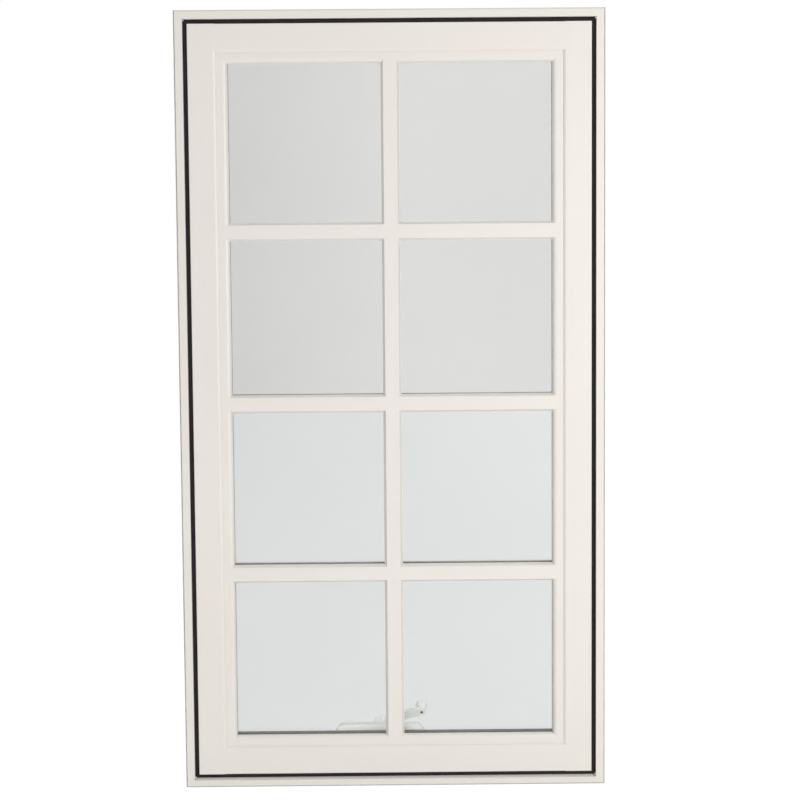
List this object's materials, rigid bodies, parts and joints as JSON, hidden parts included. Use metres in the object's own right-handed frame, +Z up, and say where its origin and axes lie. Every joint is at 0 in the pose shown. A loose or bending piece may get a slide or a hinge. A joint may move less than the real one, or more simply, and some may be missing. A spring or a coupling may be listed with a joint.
{
  "type": "crank-out window",
  "caption": "Crank-out casement window: a wood frame with one glazed sash divided by glazing bars, black weatherstrips, hinges, a folding crank and a lock lever.",
  "frame": {"origin": "middle of the frame's footprint, on the underside of the sill", "axes": "+Z up, +X to the right seen from outside, +Y from outside into the room"},
  "size_m": [0.61, 0.116, 1.118],
  "materials": {
    "frame_paint": "satin off-white paint on wood",
    "sash_paint": "satin off-white paint on wood",
    "weatherstrip_rubber": "matt black rubber",
    "glass": "clear, very slightly grey",
    "spacer_bar": "dark grey, matt",
    "hinge_steel": "zinc-plated steel",
    "hardware_enamel": "off-white stove enamel",
    "knob_plastic": "smooth off-white plastic"
  },
  "bodies": {
    "root": {"left_jamb": "frame_paint", "right_jamb": "frame_paint", "head": "frame_paint", "sill": "frame_paint", "left_stop": "frame_paint", "right_stop": "frame_paint", "head_stop": "frame_paint", "sill_stop": "frame_paint", "left_stile": "sash_paint", "right_stile": "sash_paint", "top_rail": "sash_paint", "bottom_rail": "sash_paint", "left_weatherstrip": "weatherstrip_rubber", "left_spacer": "spacer_bar", "left_bead": "sash_paint", "right_weatherstrip": "weatherstrip_rubber", "right_spacer": "spacer_bar", "right_bead": "sash_paint", "top_weatherstrip": "weatherstrip_rubber", "top_spacer": "spacer_bar", "top_bead": "sash_paint", "bottom_weatherstrip": "weatherstrip_rubber", "bottom_spacer": "spacer_bar", "bottom_bead": "sash_paint", "outer_pane": "glass", "inner_pane": "glass", "outer_upright_bar": "sash_paint", "outer_lower_bars": "sash_paint", "outer_middle_bars": "sash_paint", "outer_upper_bars": "sash_paint", "inner_upright_bar": "sash_paint", "inner_lower_bars": "sash_paint", "inner_middle_bars": "sash_paint", "inner_upper_bars": "sash_paint", "shadow_bars": "spacer_bar", "top_hinge_track": "hinge_steel", "top_hinge_arm": "hinge_steel", "bottom_hinge_track": "hinge_steel", "bottom_hinge_arm": "hinge_steel", "gear_cover": "hardware_enamel", "crank_handle": "hardware_enamel", "crank_knob": "knob_plastic", "lock_plate": "hardware_enamel", "lock_lever": "hardware_enamel"}
  },
  "joints": []
}
